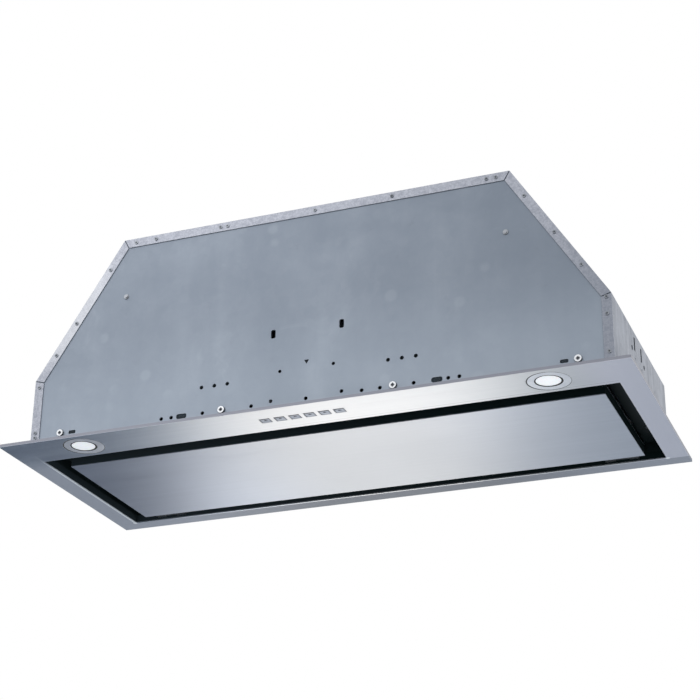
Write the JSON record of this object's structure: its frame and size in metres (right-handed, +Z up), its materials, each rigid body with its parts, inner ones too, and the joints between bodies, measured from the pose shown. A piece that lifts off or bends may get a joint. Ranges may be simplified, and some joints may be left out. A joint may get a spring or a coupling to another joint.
{
  "type": "range hood insert",
  "caption": "Built-in range hood insert with a tapered galvanised housing, stainless flange frame, hinged perimeter panel, lamps, push buttons, mesh filters and a double-inlet blower.",
  "frame": {"origin": "centre of the flange frame's underside, which is the bottom centre of the bounding box", "axes": "+X along the front to the right, +Y from front to rear, +Z up through the duct collar"},
  "size_m": [0.874, 0.37, 0.35],
  "materials": {
    "stainless_flange": "brushed along X",
    "stainless_panel": "brushed along X",
    "galvanised_plate": "zinc spangle, dull",
    "galvanised_side": "zinc spangle, vertical streaks",
    "galvanised_backer": "zinc spangle, dull",
    "galvanised_scroll": "zinc spangle",
    "liner_paint": "semi-matt black paint",
    "rail_paint": "semi-matt dark grey paint",
    "spring_steel": "bright strip",
    "zinc_hinge": "zinc plated",
    "zinc_box": "zinc plated sheet",
    "pin_steel": "turned and polished",
    "screw_zinc": "bright zinc",
    "wheel_steel": "galvanised strip",
    "rivet_aluminium": "satin",
    "filter_aluminium": "satin",
    "mesh_aluminium": "expanded mesh",
    "can_aluminium": "satin",
    "lamp_ring_steel": "fine brushed",
    "lamp_glass": "frosted lens",
    "lamp_paint": "black",
    "black_plastic": "fine grain",
    "board_laminate": "green solder mask",
    "cream_plastic": "moulded",
    "white_plastic": "moulded",
    "flap_plastic": "moulded",
    "button_silver": "silver paint with a small dark bar",
    "motor_paint": "dark grey enamel",
    "collar_paint": "black paint",
    "grommet_rubber": "soft",
    "lead_sheath": "flat grey sheath"
  },
  "bodies": {
    "housing": {"flange_frame": "stainless_flange", "front_plate": "galvanised_plate", "rear_plate": "galvanised_plate", "side_panel_left": "galvanised_side", "side_panel_right": "galvanised_side", "top_panel": "galvanised_side", "inner_liner": "liner_paint", "side_fillers": "rail_paint", "filter_rail_front": "rail_paint", "filter_rail_rear": "rail_paint", "centre_rail": "rail_paint", "filter_springs": "spring_steel", "fixed_hinge_leaves": "zinc_hinge", "pivot_pins": "pin_steel", "magnet_catches": "black_plastic", "lamp_rings": "lamp_ring_steel", "lamp_lenses": "lamp_glass", "lamp_bodies": "lamp_paint", "button_holder": "black_plastic", "button_board": "board_laminate", "control_box": "zinc_box", "control_box_lid": "zinc_box", "control_board": "board_laminate", "terminal_block": "cream_plastic", "lamp_driver": "white_plastic", "capacitor": "can_aluminium", "capacitor_clamp": "zinc_hinge", "cable_gland": "black_plastic", "scroll_wrap": "galvanised_scroll", "scroll_cheek_left": "galvanised_scroll", "scroll_cheek_right": "galvanised_scroll", "motor_body": "motor_paint", "motor_bracket": "zinc_box", "motor_grommets": "grommet_rubber", "duct_collar": "collar_paint", "plate_screws": "screw_zinc", "edge_rivets": "rivet_aluminium", "assembly_screws": "screw_zinc", "ribbon_lead": "lead_sheath"},
    "impeller": {"impeller_wheel": "wheel_steel", "impeller_blades": "wheel_steel", "motor_shaft": "pin_steel"},
    "perimeter_panel": {"panel_skin": "stainless_panel", "panel_backer": "galvanised_backer", "moving_hinge_leaves": "zinc_hinge", "strike_plates": "pin_steel"},
    "filter_left": {"filter_frame_left": "filter_aluminium", "filter_mesh_left": "mesh_aluminium"},
    "bail_left": {"filter_bail_left": "pin_steel"},
    "filter_right": {"filter_frame_right": "filter_aluminium", "filter_mesh_right": "mesh_aluminium"},
    "bail_right": {"filter_bail_right": "pin_steel"},
    "flap_front": {"damper_flap_front": "flap_plastic"},
    "flap_rear": {"damper_flap_rear": "flap_plastic"},
    "push_button_1": {"button_1": "button_silver"},
    "push_button_2": {"button_2": "button_silver"},
    "push_button_3": {"button_3": "button_silver"},
    "push_button_4": {"button_4": "button_silver"},
    "push_button_5": {"button_5": "button_silver"},
    "push_button_6": {"button_6": "button_silver"}
  },
  "joints": [
    {"name": "impeller_spin", "type": "hinge", "parent": "housing", "child": "impeller", "pos_m": [0, -0.035, 0.185], "axis": [1, 0, 0], "continuous": true},
    {"name": "panel_swing", "type": "hinge", "parent": "housing", "child": "perimeter_panel", "pos_m": [0, 0.1546, 0.008], "axis": [1, 0, 0], "range_deg": [0, 85]},
    {"name": "filter_push_left", "type": "slide", "parent": "housing", "child": "filter_left", "axis": [0, 1, 0], "range_m": [0, 0.0075], "stiffness_N_per_m": 800, "springref_m": -0.01, "deforming": ["filter_springs"]},
    {"name": "bail_swing_left", "type": "hinge", "parent": "filter_left", "child": "bail_left", "pos_m": [-0.18935, -0.0705, 0.0443], "axis": [1, 0, 0], "range_deg": [-85, 85]},
    {"name": "filter_push_right", "type": "slide", "parent": "housing", "child": "filter_right", "axis": [0, 1, 0], "range_m": [0, 0.0075], "stiffness_N_per_m": 800, "springref_m": -0.01, "deforming": ["filter_springs"]},
    {"name": "bail_swing_right", "type": "hinge", "parent": "filter_right", "child": "bail_right", "pos_m": [0.18935, -0.0705, 0.0443], "axis": [1, 0, 0], "range_deg": [-85, 85]},
    {"name": "flap_front_lift", "type": "hinge", "parent": "housing", "child": "flap_front", "pos_m": [0, 0.031, 0.3305], "axis": [-1, 0, 0], "range_deg": [0, 78]},
    {"name": "flap_rear_lift", "type": "hinge", "parent": "housing", "child": "flap_rear", "pos_m": [0, 0.031, 0.3305], "axis": [1, 0, 0], "range_deg": [0, 78]},
    {"name": "button_1_press", "type": "slide", "parent": "housing", "child": "push_button_1", "axis": [0, 0, 1], "range_m": [0, 0.0015], "stiffness_N_per_m": 200, "springref_m": -0.004},
    {"name": "button_2_press", "type": "slide", "parent": "housing", "child": "push_button_2", "axis": [0, 0, 1], "range_m": [0, 0.0015], "stiffness_N_per_m": 200, "springref_m": -0.004},
    {"name": "button_3_press", "type": "slide", "parent": "housing", "child": "push_button_3", "axis": [0, 0, 1], "range_m": [0, 0.0015], "stiffness_N_per_m": 200, "springref_m": -0.004},
    {"name": "button_4_press", "type": "slide", "parent": "housing", "child": "push_button_4", "axis": [0, 0, 1], "range_m": [0, 0.0015], "stiffness_N_per_m": 200, "springref_m": -0.004},
    {"name": "button_5_press", "type": "slide", "parent": "housing", "child": "push_button_5", "axis": [0, 0, 1], "range_m": [0, 0.0015], "stiffness_N_per_m": 200, "springref_m": -0.004},
    {"name": "button_6_press", "type": "slide", "parent": "housing", "child": "push_button_6", "axis": [0, 0, 1], "range_m": [0, 0.0015], "stiffness_N_per_m": 200, "springref_m": -0.004}
  ]
}
